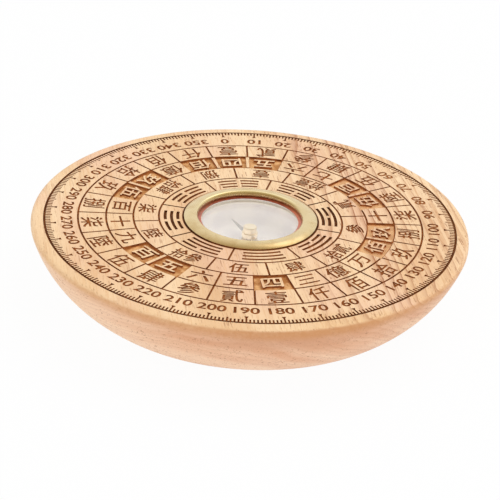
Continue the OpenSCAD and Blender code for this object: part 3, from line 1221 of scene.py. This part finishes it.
@dataclass
class Block:
    """The turned wooden block with its engraved dial."""

    wood: bpy.types.Material
    height: float = Span.of("wooden_body").high
    rim_r: float = Span.of("wooden_body").radius
    pocket_z: float = Span.of("compass_cup").low
    bezel_r: float = Span.of("brass_bezel").radius
    base_r: float = 42.5
    side_r: float = 32.0
    edge_r: float = 1.2
    rebate_r: float = 17.1
    rim_z: float = 17.7
    pocket_r: float = 14.9
    segments: int = 480

    scale_r: float = 51.65
    outer_ring_r: float = 43.3
    inner_ring_r: float = 36.3
    hour_ring_r: float = 29.5
    trigram_ring_r: float = 23.1
    cells: int = 24
    cell_deg: float = 15.0
    hour_deg: float = 30.0
    trigram_deg: float = 45.0
    line_w: float = 0.5
    scale_line_w: float = 0.6
    line_depth: float = 0.35
    line_inset: float = 0.1
    tick_w: float = 0.44
    tick_depth: float = 0.3
    tick_head_w: float = 1.1
    tick_head_h: float = 0.75
    tick_head_extra: float = 0.01
    bar_t: float = 0.76
    bar_span: float = 29.0
    bar_gap: float = 3.0
    bars: int = 3
    sign_depth: float = 0.2
    cell_depth: float = 0.7
    ridge_w: float = 0.8
    floor_inset: float = 0.05
    floor_gap_deg: float = 0.02
    face_play: float = 0.01
    over: float = 2.0

    number_r: float = 46.15
    outer_sign_r: float = 39.85
    middle_sign_r: float = 32.85
    hour_sign_r: float = 26.3
    number_em: Point = (4.6, 3.8)
    number_swell: float = 0.0242
    outer_em: Point = (5.5, 5.9)
    middle_em: Point = (6.1, 5.2)
    hour_em: Point = (4.9, 4.9)
    pair_em: Point = (4.0, 4.9)
    strikes: tuple[Point, ...] = ((-0.09, -0.08), (0.09, -0.06), (-0.09, 0.06), (0.09, 0.08))
    raised_shifts: tuple[Point, ...] = ((-0.08, -0.07), (0.08, 0.07))
    sunk: frozenset[int] = frozenset({0, 1, 4, 5, 7, 8, 12, 15, 16, 20, 21, 23})
    trigrams: tuple[str, ...] = ("000", "100", "101", "110", "111", "011", "010", "001")
    numerals: str = "壹貳參肆伍陸柒捌玖拾佰仟"
    middle_numerals: str = "四五六七八九十百千万億三"
    raised_numerals: str = "四五百伍玖佰"
    hour_numerals: tuple[str, ...] = (
        "壹", "拾壹", "貳", "參", "拾貳", "肆", "伍", "拾參", "陸", "柒", "拾肆", "捌",
    )
    marks: dict[Mark, float] = field(
        default_factory=lambda: {Mark.DEGREE: 1.5, Mark.FIVE: 1.95, Mark.TEN: 2.85}
    )
    straight: MarkArray = field(init=False)
    curved: MarkArray = field(init=False)

    def __post_init__(self) -> None:
        """Make the two arrays that the marks are cut with."""
        self.straight = MarkArray("straight_marks", False, self.wood)
        self.curved = MarkArray("curved_marks", True, self.wood)

    def outline(self) -> Outline:
        """Give the block's half section: base, curved side, dial, and the capsule's pocket.

        Returns:
            The closed outline.
        """
        dial_edge = Vector((self.rim_r - self.edge_r, self.height - self.edge_r))
        base_edge = Vector((self.base_r, self.edge_r))
        chord = dial_edge - base_edge
        arm = self.side_r - self.edge_r
        rise = math.sqrt(arm * arm - chord.length_squared / 4)
        middle = (dial_edge + base_edge) / 2
        centre = middle + rise * Vector((-chord.y, chord.x)) / chord.length
        low = math.degrees(math.atan2(base_edge.y - centre.y, base_edge.x - centre.x))
        high = math.degrees(math.atan2(dial_edge.y - centre.y, dial_edge.x - centre.x))
        section = Outline((0.0, 0.0))
        section.arc(tuple(base_edge), self.edge_r, -90.0, low, 10)
        section.arc(tuple(centre), self.side_r, low, high, 40)
        section.arc(tuple(dial_edge), self.edge_r, high, 90.0, 12)
        section.line((self.rebate_r, self.height), (self.rebate_r, self.rim_z))
        section.line((self.pocket_r, self.rim_z), (self.pocket_r, self.pocket_z))
        return section.line((0.0, self.pocket_z))

    def reach(self, depth: float) -> tuple[float, float]:
        """Give a cutter's floor, at a depth below the dial, and its top, well above it."""
        return self.height - depth, self.height + self.over

    def ring_cutter(self) -> Cutter:
        """Cut the five engraved circles.

        Returns:
            The cutter.
        """
        cutter = Cutter("circles")
        floor, top = self.reach(self.line_depth)
        plain = (self.outer_ring_r, self.inner_ring_r, self.hour_ring_r, self.trigram_ring_r)
        rings = {**dict.fromkeys(plain, self.line_w), self.scale_r: self.scale_line_w}
        for radius, width in rings.items():
            inner, outer = radius - width / 2, radius + width / 2
            section = Outline((inner, floor), (outer, floor), (outer, top), (inner, top))
            cutter.add(turned(section, self.segments))
        return cutter

    def divider_cutter(self) -> Cutter:
        """Cut the lines between the cells, but none between two sunk cells.

        Returns:
            The cutter.
        """
        cutter = Cutter("dividers")
        edges = {cell: self.cell_deg * (cell + 0.5) for cell in range(self.cells)}
        apart = [
            edge for cell, edge in edges.items()
            if Cell.PLAIN in (self.cell_kind(cell), self.cell_kind(cell + 1))
        ]
        gates = [self.trigram_deg * (place + 0.5) for place in range(len(self.trigrams))]
        hours = [self.hour_deg * hour for hour in range(len(self.hour_numerals))]
        runs = (
            (edges.values(), self.inner_ring_r, self.outer_ring_r),
            (apart, self.hour_ring_r, self.inner_ring_r),
            (hours, self.trigram_ring_r, self.hour_ring_r),
            (gates, self.rebate_r - self.line_inset, self.trigram_ring_r),
        )
        for bearings, inner, outer in runs:
            ends = (inner + self.line_inset, outer - self.line_inset)
            sizes = (*ends, self.line_w, self.line_w, *self.reach(self.line_depth))
            cutter.add(self.straight.cut(bearings, sizes))
        return cutter

    def tick_cutter(self) -> Cutter:
        """Cut the 360 ticks of the degree scale.

        Returns:
            The cutter.
        """
        cutter = Cutter("ticks")
        for mark, length in self.marks.items():
            bearings = [angle for angle in range(360) if self.kind_of(angle) is mark]
            head = self.tick_head_h / 2 if mark is Mark.TEN else 0.0
            ends = (self.scale_r - length + head, self.scale_r)
            sizes = (*ends, self.tick_w, self.tick_w, *self.reach(self.tick_depth))
            cutter.add(self.straight.cut(bearings, sizes))
        return cutter

    def head_cutter(self) -> Cutter:
        """Cut the small heads at the inner ends of the ten-degree ticks.

        Returns:
            The cutter.
        """
        cutter = Cutter("heads")
        tip = self.scale_r - self.marks[Mark.TEN]
        widths = (self.tick_head_w, self.tick_w)
        floor, top = self.reach(self.tick_depth)
        depths = (floor - self.tick_head_extra, top)
        sizes = (tip, tip + self.tick_head_h, *widths, *depths)
        cutter.add(self.straight.cut(range(0, 360, Mark.TEN.value), sizes))
        return cutter

    @staticmethod
    def kind_of(angle: int) -> Mark:
        """Say which tick stands at a whole degree."""
        kinds = (Mark.TEN, Mark.FIVE, Mark.DEGREE)
        return next(mark for mark in kinds if angle % mark.value == 0)

    def trigram_cutter(self) -> Cutter:
        """Cut the bars of the eight trigrams, whole or broken.

        Returns:
            The cutter.
        """
        cutter = Cutter("trigrams")
        step = (self.trigram_ring_r - self.bezel_r) / (self.bars + 1)
        half = (self.bar_span - self.bar_gap) / 2
        offset = (half + self.bar_gap) / 2
        places = {self.trigram_deg * place: bars for place, bars in enumerate(self.trigrams)}
        for bar in range(self.bars):
            inner = self.trigram_ring_r - (bar + 1) * step - self.bar_t / 2
            whole = [bearing for bearing, bars in places.items() if bars[bar] == "1"]
            broken = [bearing for bearing, bars in places.items() if bars[bar] == "0"]
            sides = [bearing + side * offset for bearing in broken for side in (-1, 1)]
            for bearings, span in ((whole, self.bar_span), (sides, half)):
                widths = (math.radians(span), math.radians(span))
                sizes = (inner, inner + self.bar_t, *widths, *self.reach(self.line_depth))
                cutter.add(self.curved.cut(bearings, sizes))
        return cutter

    def cell_kind(self, cell: int) -> Cell:
        """Say how a cell of the middle ring is cut."""
        return Cell.SUNK if cell % self.cells in self.sunk else Cell.PLAIN

    def number_cutter(self) -> Cutter:
        """Cut the degree numbers.

        Returns:
            The cutter.
        """
        cutter = Cutter("numbers")
        tool = Lettering(*self.reach(self.sign_depth), 0.0, self.number_swell)
        for angle in range(0, 360, Mark.TEN.value):
            cutter.add(tool.prism(str(angle), self.number_em, self.number_r, angle))
        return cutter

    def sign_cutter(self, nudge: Point) -> Cutter:
        """Cut the signs of the outer ring, the plain middle cells and the hour ring.

        Args:
            nudge: Shift of this strike to the right and up.

        Returns:
            The strike as one cutter.
        """
        cutter = Cutter("signs")
        tool = Lettering(*self.reach(self.sign_depth))
        for cell in range(self.cells):
            bearing = self.cell_deg * cell
            sign = self.numerals[cell % len(self.numerals)]
            cutter.add(tool.prism(sign, self.outer_em, self.outer_sign_r, bearing, nudge))
            if self.cell_kind(cell) is Cell.PLAIN:
                sign = self.middle_numerals[cell % len(self.middle_numerals)]
                cutter.add(tool.prism(sign, self.middle_em, self.middle_sign_r, bearing, nudge))
        for hour, sign in enumerate(self.hour_numerals):
            em = self.hour_em if len(sign) == 1 else self.pair_em
            bearing = self.hour_deg * (hour + 0.5)
            cutter.add(tool.prism(sign, em, self.hour_sign_r, bearing, nudge))
        return cutter

    def cell_cutter(self) -> Cutter:
        """Sink the floors of the sunk cells round their raised signs.

        Returns:
            The cutter.
        """
        ridge = math.degrees(2 * self.ridge_w / (self.hour_ring_r + self.inner_ring_r))
        floor, top = self.reach(self.cell_depth)
        whole = Cutter("floors")
        raised = [Cutter("raised") for _ in self.raised_shifts]
        tool = Lettering(floor - self.over, top + self.over)
        ends = (self.hour_ring_r + self.floor_inset, self.inner_ring_r - self.floor_inset)
        for order, cell in enumerate(sorted(self.sunk)):
            before = ridge / 2 if self.cell_kind(cell - 1) is Cell.SUNK else 0.0
            after = ridge / 2 if self.cell_kind(cell + 1) is Cell.SUNK else 0.0
            width = math.radians(self.cell_deg - before - after - self.floor_gap_deg)
            middle = self.cell_deg * cell
            sizes = (*ends, width, width, floor, top)
            whole.add(self.curved.cut([middle + (before - after) / 2], sizes))
            sign = self.raised_numerals[order % len(self.raised_numerals)]
            for copy, shift in zip(raised, self.raised_shifts):
                copy.add(tool.prism(sign, self.middle_em, self.middle_sign_r, middle, shift))
        floors = whole.object()
        mesh = floors.data
        bpy.data.objects.remove(floors)
        cutter = Cutter("cells")
        cutter.add(carve(mesh, raised, "cells"))
        return cutter

    def mark_raised(self, shape: bmesh.types.BMesh) -> None:
        """Mark the faces that are left standing in the sunk cells, which the burning has singed.

        Args:
            shape: The engraved block in millimetres.
        """
        layer = shape.faces.layers.float.new(RAISED)
        for face in shape.faces:
            spot = face.calc_center_median()
            inside = self.hour_ring_r < math.hypot(spot.x, spot.y) < self.inner_ring_r
            cell = round(math.degrees(math.atan2(spot.x, spot.y)) / self.cell_deg)
            on_face = spot.z > self.height - self.face_play
            face[layer] = float(inside and on_face and self.cell_kind(cell) is Cell.SUNK)

    def build(self) -> bpy.types.Object:
        """Turn the block, engrave it and dress it.

        Returns:
            The finished piece.
        """
        shape = turned(self.outline(), self.segments)
        bmesh.ops.recalc_face_normals(shape, faces=shape.faces)
        blank = bpy.data.meshes.new("blank")
        shape.to_mesh(blank)
        shape.free()
        cutters = [
            self.ring_cutter(),
            self.divider_cutter(),
            self.tick_cutter(),
            self.head_cutter(),
            self.trigram_cutter(),
            self.number_cutter(),
            *(self.sign_cutter(nudge) for nudge in self.strikes),
            self.cell_cutter(),
        ]
        shape = bmesh.new()
        shape.from_mesh(carve(blank, cutters, "engraved"))
        self.mark_raised(shape)
        mesh = finish_mesh(shape, "engraved_block")
        return dress("engraved_block", mesh, self.wood, "wooden_body", "wood")


@dataclass
class Capsule:
    """The glazed compass capsule in the block: rim, seal, glass, seat, dish and cup."""

    rim: Span = Span.of("brass_bezel")
    seal: Span = Span.of("red_gasket")
    pane: Span = Span.of("cover_glass")
    ledge: Span = Span.of("seat_ring")
    bowl: Span = Span.of("white_dish")
    case: Span = Span.of("compass_cup")
    crown_h: float = 1.0
    crown_flat_w: float = 0.4
    rim_edge_h: float = 0.25
    rebate_h: float = 0.3
    lip_over: float = 0.45
    lip_round_r: float = 0.75
    bezel_edge: float = 0.08
    fit_gap: float = 0.1
    skirt_t: float = 0.6
    gasket_w: float = 1.35
    gasket_edge_r: float = 0.12
    opening_shift: float = 0.2
    glass_edge: float = 0.12
    seat_w: float = 1.0
    seat_edge: float = 0.1
    dish_wall: float = 0.5
    dish_cove_r: float = 2.5
    cup_wall: float = 0.4
    cup_edge_r: float = 0.15
    segments: int = 256

    def bezel(self) -> Outline:
        """Give the rim's half section: crowned, with a rounded lip and a skirt.

        Returns:
            The closed outline.
        """
        crown_z, lip_z, edge = self.rim.high, self.seal.high, self.bezel_edge
        seat_z = crown_z - self.crown_h - self.rebate_h
        lip_r = self.pane.radius - self.lip_over
        skirt_in_r = self.case.radius + self.fit_gap
        skirt_r = skirt_in_r + self.skirt_t
        crown_x = lip_r + self.lip_round_r + self.crown_flat_w
        fall = self.crown_h - self.rim_edge_h
        reach = self.rim.radius - crown_x
        crown_r = (reach * reach + fall * fall) / (2 * fall)
        end = math.degrees(math.asin((crown_r - fall) / crown_r))
        lip_centre = (lip_r + self.lip_round_r, crown_z - self.lip_round_r)
        section = Outline((skirt_in_r, self.rim.low), (skirt_r, self.rim.low), (skirt_r, seat_z))
        section.line((self.rim.radius - edge, seat_z), (self.rim.radius, seat_z + edge))
        section.arc((crown_x, crown_z - crown_r), crown_r, end, 90.0, 24)
        section.arc(lip_centre, self.lip_round_r, 90.0, 180.0, 16)
        return section.line((lip_r, lip_z + edge), (lip_r + edge, lip_z), (skirt_in_r, lip_z))

    def gasket(self) -> Outline:
        """Give the seal's half section, with its inner edge rounded over.

        Returns:
            The closed outline.
        """
        edge, high = self.gasket_edge_r, self.seal.high
        inner = self.seal.radius - self.gasket_w
        section = Outline((inner + edge / 2, self.seal.low), (self.seal.radius, self.seal.low))
        section.line((self.seal.radius, high))
        return section.arc((inner + edge, high - edge), edge, 90.0, 180.0, 8)

    def glass(self) -> Outline:
        """Give the glass's half section, with a ground edge.

        Returns:
            The closed outline.
        """
        edge, reach, low, high = self.glass_edge, self.pane.radius, self.pane.low, self.pane.high
        section = Outline((0.0, low), (reach - edge, low), (reach, low + edge))
        return section.line((reach, high - edge), (reach - edge, high), (0.0, high))

    def seat(self) -> Outline:
        """Give the seat ring's half section, with its inner edges broken.

        Returns:
            The closed outline.
        """
        edge, reach, low, high = self.seat_edge, self.ledge.radius, self.ledge.low, self.ledge.high
        inner = reach - self.seat_w
        section = Outline((inner + edge, low), (reach, low), (reach, high))
        return section.line((inner + edge, high), (inner, high - edge), (inner, low + edge))

    def dish(self) -> Outline:
        """Give the white dish's half section, with its coved corner.

        Returns:
            The closed outline.
        """
        wall_r, floor_z = self.bowl.radius - self.dish_wall, self.bowl.low + self.dish_wall
        centre = (wall_r - self.dish_cove_r, floor_z + self.dish_cove_r)
        section = Outline((0.0, self.bowl.low), (self.bowl.radius, self.bowl.low))
        section.line((self.bowl.radius, self.bowl.high), (wall_r, self.bowl.high))
        section.arc(centre, self.dish_cove_r, 0.0, -90.0, 20)
        return section.line((0.0, floor_z))

    def cup(self) -> Outline:
        """Give the cup's half section, with a rounded bottom edge.

        Returns:
            The closed outline.
        """
        edge, reach, low = self.cup_edge_r, self.case.radius, self.case.low
        inner, floor_z = reach - self.cup_wall, low + self.cup_wall
        section = Outline((0.0, low))
        section.arc((reach - edge, low + edge), edge, -90.0, 0.0, 5)
        section.line((reach, self.case.high), (inner, self.case.high))
        return section.line((inner, floor_z), (0.0, floor_z))

    def set_opening_aside(self, shape: bmesh.types.BMesh, inner: float, outer: float) -> None:
        """Shift a ring's opening a little to one side, as it lies on the real one.

        Args:
            shape: The turned ring.
            inner: The radius of the opening, which moves by the whole shift.
            outer: The radius from which nothing moves.
        """
        for vert in shape.verts:
            share = (outer - math.hypot(vert.co.x, vert.co.y)) / (outer - inner)
            vert.co.x -= self.opening_shift * max(share, 0.0)

    def build(self) -> None:
        """Turn and dress each piece of the capsule."""
        brass = BezelBrass("satin_brass", roughness=0.24)
        steel_tones = (srgb(250, 245, 236), srgb(226, 220, 210))
        # The seat ring glows a little: painted light on its shaded edge below the seal.
        steel = TurnedMetal("seat_steel", *steel_tones, 0.45, glow=0.12)
        cup = TurnedMetal("cup_brass", srgb(214, 186, 128), srgb(150, 116, 70), 0.42, 6.0, 0.9)
        lacquer = WhiteEnamel("white_lacquer")
        runs = (
            ("crowned_bezel", self.bezel(), brass, "brass_bezel", "bezel_brass"),
            ("red_seal", self.gasket(), RedRubber("red_rubber"), "red_gasket", "red_gasket"),
            ("round_glass", self.glass(), CoverGlass("clear_glass"), "cover_glass", "glass"),
            ("glass_seat", self.seat(), steel, "seat_ring", "seat_ring_metal"),
            ("lacquered_dish", self.dish(), lacquer, "white_dish", "white_enamel"),
            ("drawn_cup", self.cup(), cup, "compass_cup", "cup_brass"),
        )
        lip_r = self.pane.radius - self.lip_over
        openings = {
            "brass_bezel": (lip_r, lip_r + self.lip_round_r + self.crown_flat_w),
            "red_gasket": (self.seal.radius - self.gasket_w, self.seal.radius),
        }
        for name, outline, finish, node, slot in runs:
            shape = turned(outline, self.segments)
            if node in openings:
                self.set_opening_aside(shape, *openings[node])
            dress(name, finish_mesh(shape, name), finish.material(), node, slot)


@dataclass
class NeedleSet:
    """The needle with its cap and bearing, and the pivot that carries it."""

    hub: Span = Span.of("needle_cap")
    blade: Span = Span.of("needle")
    stone: Span = Span.of("jewel_bearing")
    foot: Span = Span.of("pivot_base")
    pivot: Span = Span.of("pivot_pin")
    knob_r: float = 1.7
    collar_h: float = 1.0
    neck_wall: float = 0.3
    cap_edge_r: float = 0.3
    dimple_mouth_r: float = 0.45
    dimple_r: float = 0.08
    base_step_w: float = 0.6
    base_step_h: float = 0.4
    point_cone_h: float = 0.8
    point_r: float = 0.05
    broken_edge: float = 0.1
    segments: int = 96

    def cap(self) -> Outline:
        """Give the cap's half section: a rounded knob on a collar, with a neck and a bore.

        Returns:
            The closed outline.
        """
        edge, small = self.cap_edge_r, self.broken_edge
        bore_r, neck_r = self.stone.radius, self.stone.radius + self.neck_wall
        collar_x, collar_z = self.hub.radius - small, self.blade.high
        collar_top = collar_z + self.collar_h
        section = Outline((bore_r, self.hub.low), (neck_r, self.hub.low), (neck_r, collar_z))
        section.arc((collar_x, collar_z + small), small, -90.0, 0.0, 4)
        section.arc((collar_x, collar_top - small), small, 0.0, 90.0, 6)
        section.line((self.knob_r, collar_top))
        section.arc((self.knob_r - edge, self.hub.high - edge), edge, 0.0, 90.0, 8)
        return section.line((0.0, self.hub.high), (0.0, self.stone.high), (bore_r, self.stone.high))

    def bearing(self) -> Outline:
        """Give the bearing's half section, with its dimple.

        Returns:
            The closed outline.
        """
        low, high, reach = self.stone.low, self.stone.high, self.stone.radius
        dimple_z = (low + high) / 2
        section = Outline((self.dimple_mouth_r, low), (reach, low), (reach, high), (0.0, high))
        return section.line((0.0, dimple_z), (self.dimple_r, dimple_z))

    def pivot_base(self) -> Outline:
        """Give the pivot base's half section, with its step and the hole for the pin.

        Returns:
            The closed outline.
        """
        small, reach, high = self.broken_edge, self.foot.radius, self.foot.high
        shoulder_z, step_r = high - self.base_step_h, reach - self.base_step_w
        hole_r, hole_z = self.pivot.radius, self.pivot.low
        section = Outline((0.0, self.foot.low), (reach, self.foot.low))
        section.arc((reach - small, shoulder_z - small), small, 0.0, 90.0, 4)
        section.line((step_r, shoulder_z))
        section.arc((step_r - small, high - small), small, 0.0, 90.0, 4)
        return section.line((hole_r, high), (hole_r, hole_z), (0.0, hole_z))

    def pin(self) -> Outline:
        """Give the pin's half section, with its ground point.

        Returns:
            The closed outline.
        """
        low, high, reach = self.pivot.low, self.pivot.high, self.pivot.radius
        section = Outline((0.0, low), (reach, low), (reach, high - self.point_cone_h))
        return section.line((self.point_r, high), (0.0, high))

    def build(self) -> None:
        """Turn and dress the small round pieces, and give the needle its finish."""
        pin = TurnedMetal("pin_steel", srgb(198, 200, 204), srgb(150, 152, 158), 0.25, 14.0)
        cap_tones = (srgb(255, 240, 212), srgb(246, 222, 186))
        # The cap glows a little: painted light that brightens its shaded sides.
        cap = TurnedMetal("cap_brass", *cap_tones, 0.36, 12.0, 0.3, 0.1)
        base_tones = (srgb(244, 228, 204), srgb(212, 188, 150))
        base = TurnedMetal("pivot_brass", *base_tones, 0.4, 12.0, 0.6)
        runs = (
            ("stepped_cap", self.cap(), cap, "needle_cap", "cap_brass"),
            ("bearing_stone", self.bearing(), Ruby("bearing_ruby"), "jewel_bearing", "jewel"),
            ("stepped_pivot", self.pivot_base(), base, "pivot_base", "pivot_brass"),
            ("pointed_pin", self.pin(), pin, "pivot_pin", "pin_steel"),
        )
        for name, outline, finish, node, slot in runs:
            mesh = finish_mesh(turned(outline, self.segments), name)
            dress(name, mesh, finish.material(), node, slot)
        tones = (srgb(222, 220, 218), srgb(190, 188, 186))
        steel = NeedleSteel("needle_steel", *tones, 0.42, 5.0, 0.6)
        needle = frame["nodes"]["needle"]
        needle.data.materials.clear()
        needle.data.materials.append(steel.material())
        log.info("needle: the frame's own solid with a steel finish")


@dataclass(frozen=True)
class Lamp:
    """A soft rectangular lamp that looks at the object, placed and sized in metres."""

    name: str
    spot: Point3
    size: Point
    watts: float

    def hang(self) -> None:
        """Put the lamp into the scene, out of sight of mirrors."""
        data = bpy.data.lights.new(self.name, "AREA")
        data.shape = "RECTANGLE"
        data.size, data.size_y = self.size
        data.energy = self.watts
        lamp = new_object(self.name, data)
        lamp.visible_glossy = False
        spot = Vector(self.spot)
        aim = spot.to_track_quat("Z", "Y").to_matrix().to_4x4()
        lamp.matrix_world = Matrix.Translation(spot) @ aim


@dataclass
class Studio:
    """The camera at the photograph's angle, the lamps and the white table."""

    unit: float = 0.0492
    dial_z: float = 0.018
    focal_px: float = 1743.93
    frame_px: float = 500.0
    sensor: float = 36.0
    distance: float = 8.92774
    elevation: float = 0.491714
    roll: float = 0.064138
    turn: float = 0.185252
    aside: float = -0.0034056
    above: float = -0.1615067
    clip_start: float = 0.01
    world_level: float = 0.78
    dark_side: float = 0.42
    open_side: Ramp = (-0.25, 0.9)
    glint: float = 0.9
    glint_reach: Ramp = (0.94, 0.99)
    warm_side: Colour = (1.0, 0.78, 0.46)
    table_reach: float = 4.0
    key: Lamp = Lamp("key_softbox", (0.77, 0.58, 1.47), (1.5, 1.5), 8.6)
    fill: Lamp = Lamp("fill_softbox", (0.8, -0.6, 0.5), (0.7, 0.5), 1.2)
    side: Lamp = Lamp("side_softbox", (-0.75, -0.8, 0.4), (0.9, 0.6), 1.6)

    def camera(self) -> bpy.types.Object:
        """Stand the camera where the dial's ticks in the photograph put it.

        Returns:
            The camera.
        """
        data = bpy.data.cameras.new("photo_camera")
        data.sensor_width = self.sensor
        data.lens = self.focal_px * self.sensor / self.frame_px
        data.clip_start = self.clip_start
        back = Vector((0.0, -math.cos(self.elevation), math.sin(self.elevation)))
        level = Vector((1.0, 0.0, 0.0))
        upright = back.cross(level)
        right = math.cos(self.roll) * level + math.sin(self.roll) * upright
        up = math.cos(self.roll) * upright - math.sin(self.roll) * level
        stand = (self.distance * back + self.aside * right + self.above * up) * self.unit
        spin = Matrix.Rotation(-self.turn, 3, "Z")
        axes = Matrix((spin @ right, spin @ up, spin @ back)).transposed().to_4x4()
        dial = Vector((0.0, 0.0, self.dial_z))
        camera = new_object("photo_camera", data)
        camera.matrix_world = Matrix.Translation(spin @ stand + dial) @ axes
        bpy.context.scene.camera = camera
        return camera

    def world(self) -> None:
        """Light the room evenly, and show it white to the camera and two-sided to mirrors.

        Mirrors see it darker and warmer behind the camera, and brightest round the key lamp.
        """
        world = bpy.data.worlds.new("white_room")
        world.use_nodes = True
        world.node_tree.nodes.clear()
        bench = Bench(world.node_tree)
        path = bench.place("ShaderNodeLightPath", None, None, "Is Camera Ray")
        seen = path.math("MAXIMUM", path.out("Is Transmission Ray"))
        mirrored = path.out("Is Glossy Ray")
        ahead = (math.sin(self.turn), math.cos(self.turn), 0.0)
        open_side = self.facing(bench, ahead).smooth(*self.open_side)
        near_key = self.facing(bench, tuple(Vector(self.key.spot).normalized()))
        room = self.dark_side + (1.0 - self.dark_side) * open_side
        room = room + near_key.smooth(*self.glint_reach) * self.glint
        level = self.world_level + mirrored * (room - self.world_level)
        level = level + seen * (1.0 - level)
        warm = mirrored * (1.0 - open_side) * (1.0 - seen)
        tint = bench.mix(warm, (1.0, 1.0, 1.0), self.warm_side)
        glow = bench.place("ShaderNodeBackground", None, {"Color": tint, "Strength": level})
        bench.place("ShaderNodeOutputWorld", None, {"Surface": glow})
        bpy.context.scene.world = world

    @staticmethod
    def facing(bench: Bench, direction: Point3) -> Value:
        """Say how far a ray of the world goes a given way, from -1 to 1.

        Args:
            bench: The world's tree.
            direction: The way, of length 1.

        Returns:
            The share.
        """
        way = bench.place("ShaderNodeTexCoord", None, None, "Generated")
        sockets = {0: way, 1: direction}
        return bench.place("ShaderNodeVectorMath", {"operation": "DOT_PRODUCT"}, sockets, "Value")

    def table(self) -> None:
        """Lay a wide white table under the object."""
        shape = bmesh.new()
        bmesh.ops.create_grid(shape, x_segments=4, y_segments=4, size=self.table_reach)
        mesh = bpy.data.meshes.new("tabletop")
        shape.to_mesh(mesh)
        shape.free()
        mesh.materials.append(Tabletop("white_tabletop").material())
        new_object("tabletop", mesh)

    def build(self) -> None:
        """Set up view, camera, light and table."""
        bpy.context.scene.view_settings.view_transform = "Standard"
        self.camera()
        self.world()
        for lamp in (self.key, self.fill, self.side):
            lamp.hang()
        self.table()


def main() -> None:
    """Build the studio, then the object from the outside inwards."""
    logging.basicConfig(level=logging.INFO, format="%(name)s: %(message)s")
    Studio().build()
    Block(PaleWood("pale_wood").material()).build()
    Capsule().build()
    NeedleSet().build()


if __name__ == "__main__":
    main()
